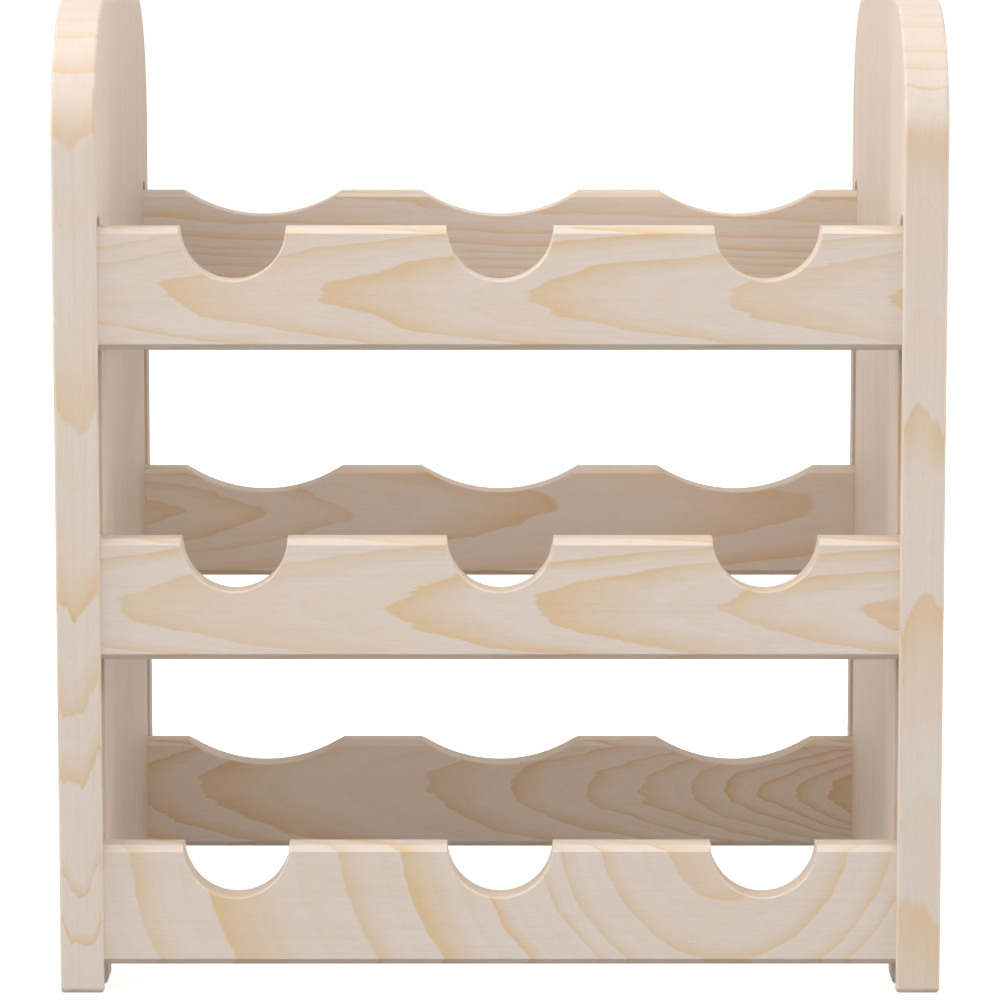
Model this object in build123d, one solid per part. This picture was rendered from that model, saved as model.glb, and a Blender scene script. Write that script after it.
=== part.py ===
from build123d import *
import os
from math import sqrt

# A counter-top wine rack of solid pine: two upright side panels joined by three front rails and three
# rear rails.  Each rail end is housed in a routed groove and held by one countersunk connecting screw.
#
# Frame, in millimetres: x = 0 is the middle of the rack and +X is its right-hand side seen from the
# front, the front faces -Y with y = 0 halfway back, and the feet stand on z = 0.

# Overall size
WIDTH = 360.0
DEPTH = 280.0
HEIGHT = 404.0

# Side panels
PANEL_THICKNESS = 18.0
TOP_CORNER_RADIUS = 58.0
EDGE_ROUNDING = 1.4
FOOT_DEPTH = 38.0
FOOT_CORNER_RADIUS = 2.5
ARCH_HEIGHT = 18.0
ARCH_CORNER_RADIUS = 12.0

# Rails
RAIL_HEIGHT = 49.6
RAIL_THICKNESS = 16.0
RAIL_CHAMFER = 2.5
LOWEST_RAIL_UNDERSIDE = 11.4
TIER_PITCH = 126.3
FRONT_RAIL_SETBACK = 2.5
REAR_RAIL_SETBACK = 16.5

# Bottle rests: half-round neck notches in front, shallow body cradles behind
BOTTLES_PER_TIER = 3
BOTTLE_PITCH = 107.8
NECK_NOTCH_RADIUS = 21.6
BODY_CRADLE_RADIUS = 64.0
BODY_CRADLE_DEPTH = 11.0
REST_EDGE_ROUNDING = 0.6

# Grooves that house the rail ends
GROOVE_DEPTH = 8.0
GROOVE_SIDE_CLEARANCE = 0.1
GROOVE_RISE_ABOVE_TOP_RAIL = 4.6

# Connecting screws, one in each rail end
SCREW_LENGTH = 50.0
SCREW_HEAD_DIAMETER = 10.0
SCREW_HEAD_RIM = 0.6
SCREW_COLLAR_DIAMETER = 7.0
SCREW_COLLAR_END = 11.0
SCREW_CORE_DIAMETER = 5.0
SCREW_TIP_DIAMETER = 3.0
SCREW_TIP_LENGTH = 4.0
THREAD_PITCH = 3.0
THREAD_ROOT_WIDTH = 1.4
THREAD_CREST_WIDTH = 0.4
HEX_SOCKET_SIDES = 6
HEX_SOCKET_ACROSS_FLATS = 4.0
HEX_SOCKET_DEPTH = 3.5
COLLAR_HOLE_CLEARANCE = 0.1
RAIL_HOLE_CLEARANCE = 0.05
RAIL_HOLE_EXTRA_DEPTH = 1.0
CUTTER_OVERRUN = 1.0

# Sizes that follow from the ones above
INNER_WIDTH = WIDTH - 2 * PANEL_THICKNESS
RAIL_LENGTH = INNER_WIDTH + 2 * GROOVE_DEPTH
TOP_RAIL_TOP = LOWEST_RAIL_UNDERSIDE + 2 * TIER_PITCH + RAIL_HEIGHT
GROOVE_TOP = TOP_RAIL_TOP + GROOVE_RISE_ABOVE_TOP_RAIL
GROOVE_WIDTH = RAIL_THICKNESS + 2 * GROOVE_SIDE_CLEARANCE
HEAD_RADIUS = SCREW_HEAD_DIAMETER / 2
COLLAR_RADIUS = SCREW_COLLAR_DIAMETER / 2
HEAD_DEPTH = SCREW_HEAD_RIM + HEAD_RADIUS - COLLAR_RADIUS

TIERS = {"bottom": 0, "middle": 1, "top": 2}
ROWS = {
    "front": -DEPTH / 2 + FRONT_RAIL_SETBACK + RAIL_THICKNESS / 2,
    "rear": DEPTH / 2 - REAR_RAIL_SETBACK - RAIL_THICKNESS / 2,
}
SIDES = {"left": -1, "right": 1}


def rail_underside(tier):
    """Height of the underside of a tier's rails; tier 0 is the lowest."""
    return LOWEST_RAIL_UNDERSIDE + tier * TIER_PITCH


def rail_top(tier):
    return rail_underside(tier) + RAIL_HEIGHT


def screw_height(tier):
    """The screws go into the middle of the rail ends."""
    return rail_underside(tier) + RAIL_HEIGHT / 2


def panel_outline():
    """Side view of an upright: round upper corners, and two feet with a low arch between them."""
    blank = Pos(0, HEIGHT / 2) * Rectangle(DEPTH, HEIGHT)
    blank = fillet(blank.vertices().group_by(Axis.Y)[-1], TOP_CORNER_RADIUS)
    arch = Rectangle(DEPTH - 2 * FOOT_DEPTH, 2 * ARCH_HEIGHT)
    arch = fillet(arch.vertices().group_by(Axis.Y)[-1], ARCH_CORNER_RADIUS)
    outline = blank - arch
    return fillet(outline.vertices().group_by(Axis.Y)[0], FOOT_CORNER_RADIUS)


def groove_cutter(centre_y, side):
    """A routed channel, open at the floor, with the round upper end that the cutter leaves."""
    straight = GROOVE_TOP - GROOVE_WIDTH / 2
    channel = Pos(centre_y, 0) * Rectangle(GROOVE_WIDTH, 2 * straight)
    channel += Pos(centre_y, straight) * Circle(GROOVE_WIDTH / 2)
    cutter = extrude(Plane.YZ * channel, amount=GROOVE_DEPTH, both=True)
    return Pos(side * INNER_WIDTH / 2, 0, 0) * cutter


def from_outer_face(shape, side, y, z):
    """Turn a shape made along +X from the origin so that it runs inward from a panel's outer face."""
    turn = Rot(0, 0, 180) if side > 0 else Rot(0, 0, 0)
    return Pos(side * WIDTH / 2, y, z) * turn * shape


def turned(points):
    """Solid of revolution about the X axis from its half section in x and radius."""
    section = make_face(Polyline([(x, radius) for x, radius in points], close=True))
    return revolve(section, Axis.X)


def screw_hole_cutter():
    """Countersink and collar hole through the panel, then the bore in the rail end."""
    rim_radius = HEAD_RADIUS + COLLAR_HOLE_CLEARANCE
    hole_radius = COLLAR_RADIUS + COLLAR_HOLE_CLEARANCE
    bore_radius = COLLAR_RADIUS + RAIL_HOLE_CLEARANCE
    panel_web = PANEL_THICKNESS - GROOVE_DEPTH
    end = SCREW_LENGTH + RAIL_HOLE_EXTRA_DEPTH
    return turned([
        (-CUTTER_OVERRUN, 0.0),
        (-CUTTER_OVERRUN, rim_radius),
        (SCREW_HEAD_RIM - COLLAR_HOLE_CLEARANCE, rim_radius),
        (HEAD_DEPTH - COLLAR_HOLE_CLEARANCE, hole_radius),
        (panel_web, hole_radius),
        (panel_web, bore_radius),
        (end, bore_radius),
        (end, 0.0),
    ])


def side_panel(side):
    """One upright; side is -1 for the left one and +1 for the right one."""
    outer_x = side * WIDTH / 2
    start_x = min(outer_x, outer_x - side * PANEL_THICKNESS)
    board = Pos(start_x, 0, 0) * extrude(Plane.YZ * panel_outline(), amount=PANEL_THICKNESS)
    board = fillet(board.faces().filter_by(Axis.X).edges(), EDGE_ROUNDING)
    for centre_y in ROWS.values():
        board -= groove_cutter(centre_y, side)
        for tier in TIERS.values():
            board -= from_outer_face(screw_hole_cutter(), side, centre_y, screw_height(tier))
    return board


def bottle_centres():
    middle = (BOTTLES_PER_TIER - 1) / 2
    return [(index - middle) * BOTTLE_PITCH for index in range(BOTTLES_PER_TIER)]


def rail(tier, centre_y, rest_radius, rest_depth):
    """A cross rail with eased long edges and a row of round rests cut into its top edge."""
    centre = Pos(0, centre_y, rail_underside(tier) + RAIL_HEIGHT / 2)
    bar = centre * Box(RAIL_LENGTH, RAIL_THICKNESS, RAIL_HEIGHT)
    bar = chamfer(bar.edges().filter_by(Axis.X), RAIL_CHAMFER)
    for x in bottle_centres():
        centre_z = rail_top(tier) - rest_depth + rest_radius
        rest = Pos(x, centre_y, centre_z) * Rot(90, 0, 0) * Cylinder(rest_radius, 2 * RAIL_THICKNESS)
        bar -= rest
    bar = fillet(bar.edges().filter_by(GeomType.CIRCLE), REST_EDGE_ROUNDING)
    for side in SIDES.values():
        bar -= from_outer_face(screw_hole_cutter(), side, centre_y, screw_height(tier))
    return bar


def screw():
    """A connecting screw along +X, its countersunk head flush at x = 0, its thread drawn as rings."""
    core = SCREW_CORE_DIAMETER / 2
    section = [(0.0, 0.0), (0.0, HEAD_RADIUS), (SCREW_HEAD_RIM, HEAD_RADIUS), (HEAD_DEPTH, COLLAR_RADIUS)]
    section += [(SCREW_COLLAR_END, COLLAR_RADIUS), (SCREW_COLLAR_END, core)]
    flank = (THREAD_ROOT_WIDTH - THREAD_CREST_WIDTH) / 2
    tip_start = SCREW_LENGTH - SCREW_TIP_LENGTH
    start = SCREW_COLLAR_END + THREAD_PITCH - THREAD_ROOT_WIDTH
    while start + THREAD_ROOT_WIDTH < tip_start:
        section += [(start, core), (start + flank, COLLAR_RADIUS)]
        section += [(start + flank + THREAD_CREST_WIDTH, COLLAR_RADIUS), (start + THREAD_ROOT_WIDTH, core)]
        start += THREAD_PITCH
    section += [(tip_start, core), (SCREW_LENGTH, SCREW_TIP_DIAMETER / 2), (SCREW_LENGTH, 0.0)]
    socket_radius = HEX_SOCKET_ACROSS_FLATS / sqrt(3)
    socket = extrude(Plane.YZ * RegularPolygon(socket_radius, HEX_SOCKET_SIDES), amount=HEX_SOCKET_DEPTH)
    return turned(section) - socket


def build_nodes():
    nodes = {}
    for side_name, side in SIDES.items():
        nodes[f"{side_name}_side_panel"] = side_panel(side)
    for tier_name, tier in TIERS.items():
        nodes[f"{tier_name}_front_rail"] = rail(tier, ROWS["front"], NECK_NOTCH_RADIUS, NECK_NOTCH_RADIUS)
        nodes[f"{tier_name}_rear_rail"] = rail(tier, ROWS["rear"], BODY_CRADLE_RADIUS, BODY_CRADLE_DEPTH)
    for tier_name, tier in TIERS.items():
        for row_name, centre_y in ROWS.items():
            for side_name, side in SIDES.items():
                name = f"{tier_name}_{row_name}_{side_name}_screw"
                nodes[name] = from_outer_face(screw(), side, centre_y, screw_height(tier))
    return nodes


os.makedirs("parts", exist_ok=True)
for node_name, shape in build_nodes().items():
    export_step(shape, f"parts/{node_name}.step")
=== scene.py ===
import math
import random

import bpy
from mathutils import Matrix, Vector


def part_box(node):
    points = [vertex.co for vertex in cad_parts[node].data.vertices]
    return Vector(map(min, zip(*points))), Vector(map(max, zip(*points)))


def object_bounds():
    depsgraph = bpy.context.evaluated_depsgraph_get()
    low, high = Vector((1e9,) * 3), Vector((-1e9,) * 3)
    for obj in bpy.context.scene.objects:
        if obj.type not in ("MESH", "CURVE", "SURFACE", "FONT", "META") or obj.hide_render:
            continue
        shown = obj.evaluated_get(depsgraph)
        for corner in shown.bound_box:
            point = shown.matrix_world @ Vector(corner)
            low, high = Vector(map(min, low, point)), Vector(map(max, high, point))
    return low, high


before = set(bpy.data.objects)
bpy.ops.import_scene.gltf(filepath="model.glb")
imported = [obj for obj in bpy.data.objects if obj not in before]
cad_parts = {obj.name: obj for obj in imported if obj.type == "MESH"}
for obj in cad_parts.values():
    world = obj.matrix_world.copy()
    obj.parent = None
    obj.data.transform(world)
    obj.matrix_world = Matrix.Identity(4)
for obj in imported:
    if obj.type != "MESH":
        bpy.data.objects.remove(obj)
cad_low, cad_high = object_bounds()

# The rack of raw pine as it stands in a plain white studio.  Every visible piece is a CAD node, so this
# script gives each node its own wood or steel, and adds the floor, the light and the camera.
# Lengths are in metres, except inside the wood and the steel, where they are in millimetres.

MM = 0.001
PER_MM = 1000.0
X, Y, Z = 0, 1, 2

TIERS = ("bottom", "middle", "top")
ROWS = ("front", "rear")
SIDES = ("left", "right")

# Linear colours of the wood
EARLYWOOD = (0.735, 0.640, 0.565)
EARLYWOOD_WARM = (0.732, 0.616, 0.530)
LATEWOOD = (0.700, 0.505, 0.305)
FIBRE_SHADE = (0.600, 0.440, 0.320)
RESIN = (0.480, 0.290, 0.150)

# Linear colours of the steel and the floor
ZINC_DARK = (0.30, 0.297, 0.286)
ZINC_PALE = (0.40, 0.395, 0.376)
ZINC_STAIN = (0.24, 0.228, 0.20)
# The painted shade in the screw sockets
SOCKET_PAINTED_SHADE = (0.10, 0.10, 0.10)
FLOOR_DARK = (0.90, 0.90, 0.90)
FLOOR_PALE = (0.93, 0.93, 0.925)

# Boards, in millimetres
RAIL_HALF_THICKNESS = 8.0
PANEL_FRONT = -140.0
PANEL_MIDDLE_HEIGHT = 202.0
PANEL_PITH_FROM_FRONT = 85.0
STAVE_WIDTH = 72.0
GLUE_LINE_WIDTH = 0.22
ARRIS_RADIUS = 0.5

# Growth rings, in millimetres where they are lengths
RING_COUNT = 31
RING_UNEVENNESS = (0.65, 1.35)
BOW_ROUNDING = 30.0
STAVE_TRIM = 4.0
INNERMOST_RING = 4.0
SWAY = 0.42
LUMPS = 0.30
SPIKES = 0.15

# Late wood: how far its onset varies, where in the ring it is darkest, where it begins to fade to the ring's
# edge, how sharply it darkens, and the weaker bands within a ring
ONSET_SPREAD = 0.2
LATEWOOD_PEAK = 0.97
LATEWOOD_FADE = 0.972
LATEWOOD_CURVE = 1.4
DRY_SPELLS_PER_RING = 3.0
DRY_SPELL_CURVE = 2.5
DRY_SPELL_DEPTH = 0.16

# The share of the figure that end grain keeps
END_GRAIN_FIGURE = 0.30

# Strength of the tints, from 0 to 1
END_GRAIN_SHADE = 0.16
FIBRE_TINT = 0.17
BAND_TINT = 0.14
CANAL_TINT = 0.14
STAVE_TINT = (0.10, 0.26)
GLUE_TINT = 0.30
# The painted highlight along the arrises
ARRIS_HIGHLIGHT = 0.22

# Offsets that give each board and each strip its own noise
SHIFT_PER_SEED = 37.0
SHIFT_PER_STAVE = 53.0

# Studio
STUDIO_RADIUS = 24.0
STUDIO_HEIGHT = 14.0
FLOOR_GAP = 0.1 * MM
FLOOR_GLOW = 0.65
STUDIO_SIDES = 96

# Where the screws are, in millimetres
ROW_MIDDLE = -7.0
ROW_HALF_SPAN = 122.5
LOWEST_SCREW = 36.2
TIER_PITCH = 126.3

# Light: brightness of the room, then each soft box's name, degrees round from the front (right is plus),
# degrees up, brightness on a white card that faces it, width and height
ROOM_LIGHT = 0.42
ROOM_LIGHT_BELOW = 0.25
HORIZON_BLUR = 0.15
BOX_DISTANCE = 3.0
BOX_TARGET = (0.0, 0.0, 0.2)
SOFT_BOXES = (
    ("high_left_box", -80.0, 55.0, 0.40, 1.5, 1.5),
    ("low_left_box", -80.0, 16.0, 0.34, 0.6, 1.8),
    ("front_left_box", -45.0, 30.0, 0.18, 1.5, 1.5),
    ("low_right_box", 78.0, 8.0, 0.40, 1.5, 1.5),
    ("high_right_box", 45.0, 55.0, 0.22, 1.5, 1.5),
    ("front_box", 0.0, 8.0, 0.25, 1.8, 1.5),
    ("back_box", 165.0, 35.0, 0.12, 1.8, 1.5),
)

# Camera: its lens and sensor in millimetres, its tilt in degrees down
CAMERA_LENS = 169.5
CAMERA_SENSOR = 36.0
CAMERA_REACH = 200.0
CAMERA_FROM_FRONT = 1.887
CAMERA_HEIGHT = 0.4405
CAMERA_TILT = 7.154


class Shader:
    """A material and its node tree.  Each method adds a node and returns its output socket."""

    def __init__(self, name):
        self.material = bpy.data.materials.new(name)
        self.material.use_nodes = True
        self.tree = self.material.node_tree
        self.tree.nodes.clear()

    def add(self, kind, inputs, output=0, **settings):
        node = self.tree.nodes.new(kind)
        for name, value in settings.items():
            setattr(node, name, value)
        for place, value in inputs.items():
            if isinstance(value, bpy.types.NodeSocket):
                self.tree.links.new(value, node.inputs[place])
            else:
                node.inputs[place].default_value = value
        return node.outputs[output]

    def math(self, operation, *values):
        return self.add("ShaderNodeMath", dict(enumerate(values)), operation=operation)

    def total(self, first, *others):
        for other in others:
            first = self.math("ADD", first, other)
        return first

    def remap(self, value, low, high, new_low=0.0, new_high=1.0, smooth=False):
        kind = "SMOOTHSTEP" if smooth else "LINEAR"
        inputs = {0: value, 1: low, 2: high, 3: new_low, 4: new_high}
        return self.add("ShaderNodeMapRange", inputs, interpolation_type=kind)

    def blend(self, factor, first, second):
        """Mix of two numbers."""
        return self.add("ShaderNodeMix", {0: factor, 2: first, 3: second}, data_type="FLOAT")

    def tint(self, factor, first, second, kind="MIX"):
        """Mix of two colours."""
        first = first if isinstance(first, bpy.types.NodeSocket) else (*first, 1.0)
        second = second if isinstance(second, bpy.types.NodeSocket) else (*second, 1.0)
        inputs = {0: factor, 6: first, 7: second}
        return self.add("ShaderNodeMix", inputs, output=2, data_type="RGBA", blend_type=kind)

    def vector(self, x, y, z):
        return self.add("ShaderNodeCombineXYZ", {0: x, 1: y, 2: z})

    def split(self, vector):
        node = self.add("ShaderNodeSeparateXYZ", {0: vector}).node
        return node.outputs[0], node.outputs[1], node.outputs[2]

    def noise(self, vector, detail=2.0, roughness=0.5):
        """Smooth noise from about -1 to 1, with features about one unit of the vector across."""
        inputs = {"Vector": vector, "Scale": 1.0, "Detail": detail, "Roughness": roughness}
        value = self.add("ShaderNodeTexNoise", inputs)
        return self.remap(value, 0.25, 0.75, -1.0, 1.0)

    def random(self, number, output=0):
        """A fixed random number from 0 to 1 for each whole number."""
        return self.add("ShaderNodeTexWhiteNoise", {"W": number}, output=output, noise_dimensions="1D")

    def position_mm(self):
        place = self.add("ShaderNodeTexCoord", {}, output=3)
        scaled = self.add("ShaderNodeVectorMath", {0: place, 3: PER_MM}, operation="SCALE")
        return self.split(scaled)

    def surface(self, **inputs):
        shader = self.add("ShaderNodeBsdfPrincipled", inputs)
        output = self.tree.nodes.new("ShaderNodeOutputMaterial")
        self.tree.links.new(shader, output.inputs["Surface"])
        return self.material


class Board:
    """How one board was cut from its tree, in millimetres from the board's own centre.

    grain is the axis that the fibres follow, across the board's wider cross direction and deep its
    thickness.  The pith is the centre line of the tree.  It lies beside the board at the across and deep
    offsets of pith, leans by lean for each millimetre along the grain, and bows away from the board on both
    sides of bow_centre.  Each mark is a place, along and across the face at face_deep, where a growth ring
    ends.  Late wood begins at about the onset share of each ring.  A further share darkens and browns the
    board's colour as painted shade, which the rear rails get for the shade deep in the rack.
    """

    def __init__(self, node, axes, pith, lean, marks, seed, face_deep=0.0, bow=0.0, bow_centre=0.0,
                 spacing=3.0, inner_spacing=3.0, onset=0.42, ragged=1.0, painted_shade=0.0, stave_width=None):
        low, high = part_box(node)
        self.centre = [(a + b) / 2 * PER_MM for a, b in zip(low, high)]
        self.grain, self.across, self.deep = axes
        self.pith = pith
        self.lean = lean
        self.bow = bow
        self.bow_centre = bow_centre
        self.seed = seed
        self.spacing = spacing
        self.onset = onset
        self.ragged = ragged
        self.painted_shade = painted_shade
        self.stave_width = stave_width
        self.half_width = (high[self.across] - low[self.across]) / 2 * PER_MM
        ends = sorted(self.radius_at(along, across, face_deep) for along, across in marks)
        self.rings = even_rings(ends, inner_spacing, spacing, seed)

    def radius_at(self, along, across, deep):
        away = self.bow * math.hypot(along - self.bow_centre, BOW_ROUNDING)
        to_pith_across = across - self.pith[0] - self.lean[0] * along
        to_pith_deep = deep - self.pith[1] - self.lean[1] * along - away
        return math.hypot(to_pith_across, to_pith_deep)


def even_rings(ends, inner_spacing, outer_spacing, seed):
    """These ring ends, with more rings of uneven width inside and outside them to make up a full set."""
    draw = random.Random(seed)
    rings = list(ends)
    while len(rings) < RING_COUNT:
        if rings[0] > INNERMOST_RING and len(rings) % 2:
            rings.insert(0, rings[0] - inner_spacing * draw.uniform(*RING_UNEVENNESS))
        else:
            rings.append(rings[-1] + outer_spacing * draw.uniform(*RING_UNEVENNESS))
    return rings


def ring_phase(shader, radius, rings):
    """A number that passes one whole number at each ring's outer edge."""
    low, high = rings[0], rings[-1]
    share = shader.remap(radius, low, high)
    steps = len(rings) - 1
    ramp = shader.add("ShaderNodeValToRGB", {0: share})
    stops = ramp.node.color_ramp.elements
    for index, edge in enumerate(rings[1:-1], start=1):
        stop = stops.new((edge - low) / (high - low))
        stop.color = (index / steps, index / steps, index / steps, 1.0)
    return shader.math("MULTIPLY", ramp, steps)


def painted_shade_mix(fresh, old, painted_shade):
    """This much of the way from one colour to the other, for painted shade."""
    return tuple(new + (brown - new) * painted_shade for new, brown in zip(fresh, old))


def pine(name, board):
    """Solid pine, with the rings, fibres and end grain that this board's cut gives it."""
    s = Shader(name)
    place = s.position_mm()
    axes = (board.grain, board.across, board.deep)
    along, across, deep = [s.math("SUBTRACT", place[axis], board.centre[axis]) for axis in axes]
    shift = board.seed * SHIFT_PER_SEED
    stave = None
    if board.stave_width:
        # Strips of different trees glued edge to edge, with the first one trimmed
        first_joint = (board.half_width + STAVE_TRIM) / board.stave_width
        from_front = s.math("MULTIPLY_ADD", across, 1 / board.stave_width, first_joint)
        stave = s.math("FLOOR", from_front)
        shift = s.math("MULTIPLY_ADD", stave, SHIFT_PER_STAVE, shift)

    def stretched(length, width, extra=0.0):
        """Where to read noise whose features are this long with the grain and this wide across it."""
        return s.vector(
            s.total(s.math("MULTIPLY", along, 1 / length), shift, extra),
            s.math("MULTIPLY_ADD", across, 1 / width, extra),
            s.math("MULTIPLY_ADD", deep, 1 / width, board.seed * 5.0),
        )

    # Distance from the pith, disturbed by the sway of the stem and by ragged ring edges
    from_bow = s.math("SUBTRACT", along, board.bow_centre)
    rounded = s.math("SQRT", s.math("MULTIPLY_ADD", from_bow, from_bow, BOW_ROUNDING ** 2))
    away = s.math("MULTIPLY", rounded, board.bow)
    pith_across = s.math("MULTIPLY_ADD", along, board.lean[0], board.pith[0])
    pith_deep = s.total(s.math("MULTIPLY_ADD", along, board.lean[1], board.pith[1]), away)

    def distance(pith_across, pith_deep):
        a = s.math("SUBTRACT", across, pith_across)
        b = s.math("SUBTRACT", deep, pith_deep)
        return s.math("SQRT", s.total(s.math("MULTIPLY", a, a), s.math("MULTIPLY", b, b)))

    sway = s.math("MULTIPLY", s.noise(stretched(90.0, 26.0), 1.0), SWAY)
    lumps = s.math("MULTIPLY", s.noise(stretched(34.0, 7.0, 5.0), 2.0), LUMPS * board.ragged)
    spiky_places = s.remap(s.noise(stretched(45.0, 20.0, 17.0), 1.0), -0.1, 0.7, 0.15, 1.0)
    spikes = s.math("MULTIPLY", s.noise(stretched(16.0, 1.8, 25.0), 2.0), SPIKES * board.ragged)
    wander = s.total(sway, lumps, s.math("MULTIPLY", spikes, spiky_places))
    phase = ring_phase(s, s.total(distance(pith_across, pith_deep), wander), board.rings)
    if stave:
        # The first strip has the rings set out for it, and the others have even rings of their own
        draw = s.random(s.total(stave, board.seed * 7.0), output=1)
        draws = s.split(draw)
        own_across = s.total(s.math("MULTIPLY", s.total(stave, 0.5), board.stave_width),
                             -board.half_width - STAVE_TRIM,
                             s.remap(draws[0], 0.0, 1.0, -60.0, 60.0), s.math("MULTIPLY", along, 0.012))
        own_deep = s.total(s.remap(draws[1], 0.0, 1.0, -70.0, -25.0), s.math("MULTIPLY", along, -0.015))
        own = s.math("DIVIDE", s.total(distance(own_across, own_deep), wander, 20.0), board.spacing)
        phase = s.blend(s.math("LESS_THAN", stave, 0.5), own, phase)
    within = s.math("FRACT", phase)
    ring = s.math("FLOOR", phase)
    luck = s.split(s.random(s.total(ring, board.seed * 11.0), output=1))
    strength = s.remap(luck[0], 0.0, 1.0, 0.72, 1.25)
    onset = s.remap(luck[1], 0.0, 1.0, board.onset - ONSET_SPREAD, board.onset + ONSET_SPREAD)
    darkening = s.math("POWER", s.remap(within, onset, LATEWOOD_PEAK), LATEWOOD_CURVE)
    ending = s.remap(within, LATEWOOD_FADE, 1.0, 1.0, 0.0)
    blotches = s.remap(s.noise(stretched(40.0, 12.0, 31.0), 2.0), -0.9, 0.5, 0.6, 1.0)
    density = s.math("MULTIPLY", strength, blotches)
    spell = s.math("FRACT", s.math("MULTIPLY", phase, DRY_SPELLS_PER_RING))
    dry_spells = s.math("POWER", spell, DRY_SPELL_CURVE)
    darkening = s.total(darkening, s.math("MULTIPLY", dry_spells, DRY_SPELL_DEPTH))
    latewood = s.math("MULTIPLY", s.math("MULTIPLY", darkening, ending), density)

    # End grain drinks in more light and hides the figure
    normal = s.add("ShaderNodeNewGeometry", {}, output=1)
    facing = s.math("POWER", s.math("ABSOLUTE", s.split(normal)[board.grain]), 3.0)
    latewood = s.math("MULTIPLY", latewood, s.remap(facing, 0.0, 0.8, 1.0, END_GRAIN_FIGURE))

    # Colour: pale early wood, yellow-orange late wood, fine fibres and a few resin streaks
    warmth = s.remap(s.noise(stretched(70.0, 16.0, 9.0), 2.0), -0.5, 0.9)
    # Painted shade: the board's colours are darkened and browned as far as its shade share says
    pale = painted_shade_mix(EARLYWOOD, FIBRE_SHADE, board.painted_shade)
    warm = painted_shade_mix(EARLYWOOD_WARM, FIBRE_SHADE, board.painted_shade)
    colour = s.tint(warmth, pale, warm)
    colour = s.tint(latewood, colour, painted_shade_mix(LATEWOOD, RESIN, board.painted_shade))
    fibres = s.noise(stretched(34.0, 0.55, 3.0), 3.0, 0.6)
    colour = s.tint(s.remap(fibres, 0.0, 1.0, 0.0, FIBRE_TINT), colour, FIBRE_SHADE)
    bands = s.noise(stretched(160.0, 2.6, 14.0), 2.0, 0.5)
    colour = s.tint(s.remap(bands, 0.1, 1.1, 0.0, BAND_TINT), colour, FIBRE_SHADE)
    canals = s.remap(s.noise(stretched(5.0, 0.28, 21.0), 0.0), 0.86, 0.97)
    colour = s.tint(s.math("MULTIPLY", canals, CANAL_TINT), colour, RESIN)
    colour = s.tint(s.math("MULTIPLY", facing, END_GRAIN_SHADE), colour, FIBRE_SHADE)
    if stave:
        own_tone = s.remap(draws[2], 0.0, 1.0, *STAVE_TINT)
        tone = s.math("MULTIPLY", s.math("MINIMUM", stave, 1.0), own_tone)
        colour = s.tint(tone, colour, FIBRE_SHADE)
        to_joint = s.math("ABSOLUTE", s.math("SUBTRACT", from_front, s.math("ROUND", from_front)))
        glue = s.remap(to_joint, 0.0, GLUE_LINE_WIDTH / board.stave_width, GLUE_TINT, 0.0)
        colour = s.tint(glue, colour, RESIN)

    # Soft arrises from bevelled normals, with their colour paled toward early wood as a painted highlight
    bevel = s.add("ShaderNodeBevel", {"Radius": ARRIS_RADIUS * MM}, samples=4)
    match = s.add("ShaderNodeVectorMath", {0: normal, 1: bevel}, output=1, operation="DOT_PRODUCT")
    arris_highlight = s.remap(match, 0.995, 0.90)
    colour = s.tint(s.math("MULTIPLY", arris_highlight, ARRIS_HIGHLIGHT), colour, EARLYWOOD)

    relief = s.total(s.math("MULTIPLY", fibres, 0.35), s.math("MULTIPLY", latewood, 0.5))
    bump_inputs = {"Strength": 0.30, "Distance": 0.06 * MM, "Height": relief, "Normal": bevel}
    bump = s.add("ShaderNodeBump", bump_inputs)
    roughness = s.remap(s.total(latewood, s.math("MULTIPLY", fibres, 0.2)), -0.2, 1.0, 0.68, 0.52)
    return s.surface(**{"Base Color": colour, "Roughness": roughness, "Normal": bump,
                        "Specular IOR Level": 0.32})


def zinc_plate(name):
    """Dull zinc plate with the rings of the lathe, and darkened in the socket as painted shade."""
    s = Shader(name)
    x, y, z = s.position_mm()
    from_row = s.math("SUBTRACT", s.math("ABSOLUTE", s.math("SUBTRACT", y, ROW_MIDDLE)), ROW_HALF_SPAN)
    tier = s.math("ROUND", s.math("DIVIDE", s.math("SUBTRACT", z, LOWEST_SCREW), TIER_PITCH))
    from_tier = s.math("SUBTRACT", z, s.math("MULTIPLY_ADD", tier, TIER_PITCH, LOWEST_SCREW))
    radius = s.math("SQRT", s.total(s.math("MULTIPLY", from_row, from_row),
                                    s.math("MULTIPLY", from_tier, from_tier)))
    turning = s.noise(s.vector(s.math("MULTIPLY", radius, 7.0), s.math("MULTIPLY", x, 2.0), tier), 2.0)
    patches = s.noise(s.vector(*[s.math("MULTIPLY", value, 0.9) for value in (x, y, z)]), 3.0)
    stain = s.noise(s.vector(*[s.math("MULTIPLY", value, 0.25) for value in (x, y, z)]), 2.0)
    colour = s.tint(s.remap(patches, -1.0, 1.0), ZINC_DARK, ZINC_PALE)
    colour = s.tint(s.remap(stain, 0.1, 1.0, 0.0, 0.5), colour, ZINC_STAIN)
    # Painted shade: darker toward the middle of the socket
    colour = s.tint(s.remap(radius, 2.4, 1.9, 0.0, 0.6), colour, SOCKET_PAINTED_SHADE)
    roughness = s.remap(s.total(patches, s.math("MULTIPLY", turning, 0.4)), -1.2, 1.2, 0.48, 0.68)
    bump = s.add("ShaderNodeBump", {"Strength": 0.35, "Distance": 0.02 * MM, "Height": turning})
    return s.surface(**{"Base Color": colour, "Roughness": roughness, "Metallic": 1.0, "Normal": bump})


def give(node, material):
    """The node wears this material in all its slots."""
    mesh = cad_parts[node].data
    mesh.materials.clear()
    mesh.materials.append(material)


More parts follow.
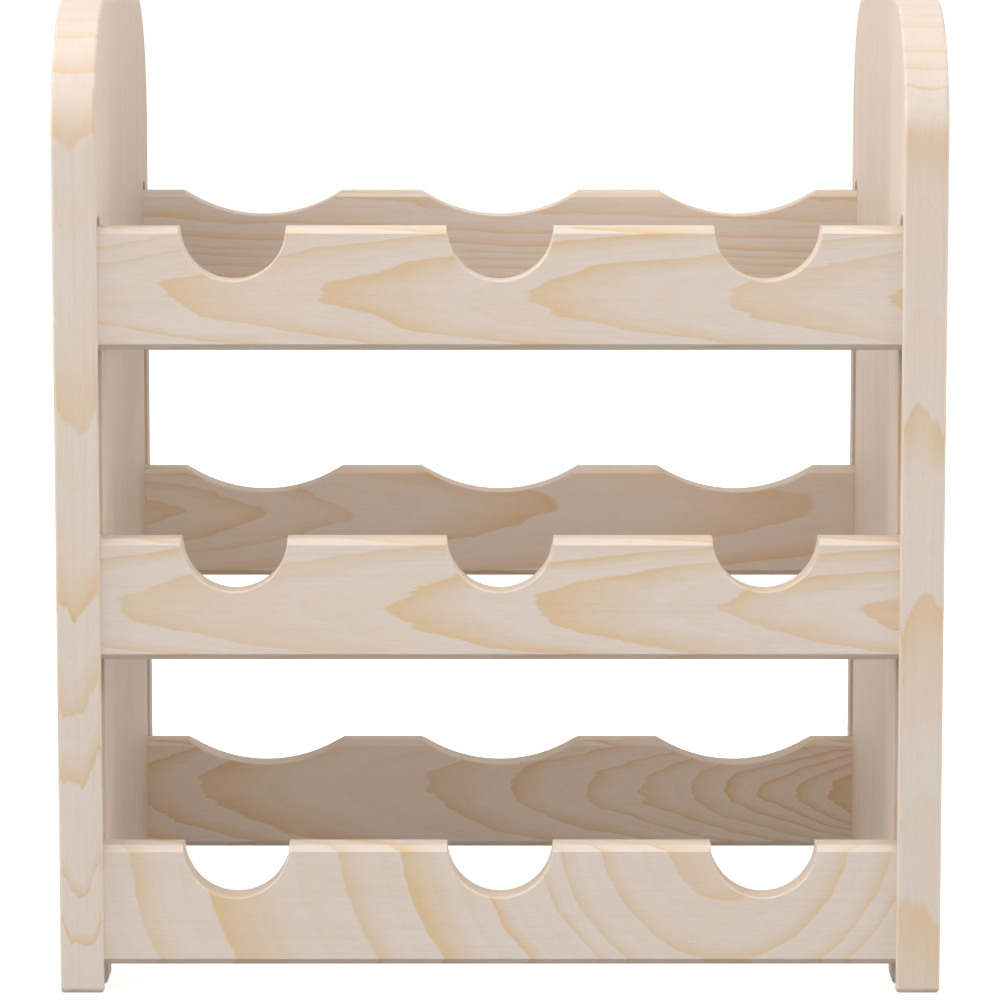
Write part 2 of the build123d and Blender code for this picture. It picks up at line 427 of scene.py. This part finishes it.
def paint_rails():
    """Each rail is its own board, with the figure that its place in the tree gave it."""
    boards = {
        "top_front_rail": dict(
            depth=60.0, lean=(-0.006, -0.040), rise=-2.3, seed=1,
            marks=[(at, -2.3) for at in (-235, -190, -137, -76, 16, 84, 150, 200)]),
        "middle_front_rail": dict(
            depth=58.0, lean=(-0.010, -0.042), rise=-3.0, seed=2,
            marks=[(at, -3.0) for at in (-215, -150, -48, 8, 92, 150, 210)]),
        "bottom_front_rail": dict(
            depth=60.0, lean=(0.0, 0.0), rise=30.0, seed=3, bow=0.56, bow_centre=92.0, spacing=16.0,
            inner_spacing=14.0, onset=0.55,
            marks=[(133, 0), (152, 0), (160, 0), (-3, 0), (-36, 0), (-61, 0), (-118, 0)]),
        # The rear rails are darkened and browned as painted shade, more the lower they stand
        "top_rear_rail": dict(depth=64.0, lean=(0.004, -0.012), rise=30.0, seed=4, spacing=2.2, painted_shade=0.1,
                              marks=[(0.0, 0.0)]),
        "middle_rear_rail": dict(
            depth=60.0, lean=(0.01, 0.045), rise=6.0, seed=5, spacing=3.4, painted_shade=0.32,
            marks=[(at, 6.0) for at in (-150, -112, -72, 20, 140)]),
        "bottom_rear_rail": dict(
            depth=62.0, lean=(-0.01, -0.075), rise=2.0, seed=6, spacing=2.4, painted_shade=0.5,
            marks=[(at, 2.0) for at in (-170, -140, -36, 6, 40, 66, 88, 106, 122, 136, 150)]),
    }
    for node, cut in boards.items():
        pith = (cut.pop("rise"), cut.pop("depth") - RAIL_HALF_THICKNESS)
        board = Board(node, (X, Z, Y), pith, face_deep=-RAIL_HALF_THICKNESS, **cut)
        give(node, pine(node + "_pine", board))


def paint_panels():
    """The side panels are glued up from strips, and show the first strip's figure on their front edges."""
    pith = (PANEL_FRONT + PANEL_PITH_FROM_FRONT, 0.0)
    for side, seed, lean, heights in (
            ("left", 11, -0.040, (349.0, 235.6, 150.0, 115.6, 81.0, 44.6, 22.3)),
            ("right", 12, 0.040, (365.0, 252.0, 164.0, 48.0))):
        node = side + "_side_panel"
        marks = [(height - PANEL_MIDDLE_HEIGHT, PANEL_FRONT) for height in heights]
        board = Board(node, (Z, Y, X), pith, (lean, 0.0), marks, seed, spacing=3.2, inner_spacing=9.0,
                      onset=0.50, ragged=0.6, stave_width=STAVE_WIDTH)
        give(node, pine(node + "_pine", board))


def paint_screws():
    steel = zinc_plate("zinc_plated_steel")
    for tier in TIERS:
        for row in ROWS:
            for side in SIDES:
                give(f"{tier}_{row}_{side}_screw", steel)


def lay_floor():
    """A pale floor and a far round wall of the same stuff, which throw no light back at the rack."""
    s = Shader("studio_white")
    mottle = s.noise(s.add("ShaderNodeTexCoord", {}, output=3), 3.0)
    tone = s.tint(s.remap(mottle, -1.0, 1.0), FLOOR_DARK, FLOOR_PALE)
    glow = {"Emission Color": (1.0, 1.0, 1.0, 1.0), "Emission Strength": FLOOR_GLOW}
    white = s.surface(**{"Base Color": tone, "Roughness": 0.9, **glow})

    turns = [math.tau * side / STUDIO_SIDES for side in range(STUDIO_SIDES)]
    foot = [(STUDIO_RADIUS * math.cos(turn), STUDIO_RADIUS * math.sin(turn), -FLOOR_GAP) for turn in turns]
    head = [(x, y, STUDIO_HEIGHT) for x, y, z in foot]
    wall_faces = []
    for side in range(STUDIO_SIDES):
        following = (side + 1) % STUDIO_SIDES
        wall_faces.append((side, following, following + STUDIO_SIDES, side + STUDIO_SIDES))
    for name, corners, faces in (("studio_floor", foot, [tuple(range(STUDIO_SIDES))]),
                                 ("studio_wall", foot + head, wall_faces)):
        mesh = bpy.data.meshes.new(name)
        mesh.from_pydata(corners, [], faces)
        mesh.materials.append(white)
        piece = bpy.data.objects.new(name, mesh)
        bpy.context.collection.objects.link(piece)
        piece.visible_diffuse = False
        piece.visible_shadow = name == "studio_floor"


def light_studio():
    """A white room, with soft boxes high and low on both sides, in front and behind."""
    world = bpy.data.worlds.new("white_studio")
    bpy.context.scene.world = world
    world.use_nodes = True
    tree = world.node_tree
    background = tree.nodes["Background"]
    place = tree.nodes.new("ShaderNodeTexCoord")
    split = tree.nodes.new("ShaderNodeSeparateXYZ")
    level = tree.nodes.new("ShaderNodeMapRange")
    for number, value in zip((1, 2, 3, 4), (-HORIZON_BLUR, HORIZON_BLUR, ROOM_LIGHT_BELOW, ROOM_LIGHT)):
        level.inputs[number].default_value = value
    tree.links.new(place.outputs["Generated"], split.inputs[0])
    tree.links.new(split.outputs[2], level.inputs[0])
    tree.links.new(level.outputs[0], background.inputs["Strength"])
    background.inputs["Color"].default_value = (1.0, 1.0, 1.0, 1.0)

    target = Vector(BOX_TARGET)
    for name, turn, height, share, width, length in SOFT_BOXES:
        turn, height = math.radians(turn), math.radians(height)
        toward = Vector((math.sin(turn) * math.cos(height), -math.cos(turn) * math.cos(height),
                         math.sin(height)))
        lamp = bpy.data.lights.new(name, "AREA")
        lamp.shape = "RECTANGLE"
        lamp.size = width
        lamp.size_y = length
        lamp.energy = share * math.pi ** 2 * BOX_DISTANCE ** 2
        box = bpy.data.objects.new(name, lamp)
        bpy.context.collection.objects.link(box)
        box.location = target + toward * BOX_DISTANCE
        box.rotation_euler = (target - box.location).to_track_quat("-Z", "Y").to_euler()


def place_camera():
    """A long lens a little above the top of the rack, looking slightly down at about its middle."""
    camera = bpy.data.cameras.new("camera")
    camera.lens = CAMERA_LENS
    camera.sensor_width = CAMERA_SENSOR
    camera.clip_end = CAMERA_REACH
    holder = bpy.data.objects.new("camera", camera)
    bpy.context.collection.objects.link(holder)
    holder.location = (0.0, cad_low.y - CAMERA_FROM_FRONT, CAMERA_HEIGHT)
    holder.rotation_euler = (math.radians(90.0 - CAMERA_TILT), 0.0, 0.0)
    bpy.context.scene.camera = holder


place_camera()
light_studio()
lay_floor()
paint_panels()
paint_rails()
paint_screws()
bpy.context.scene.view_settings.view_transform = "Standard"
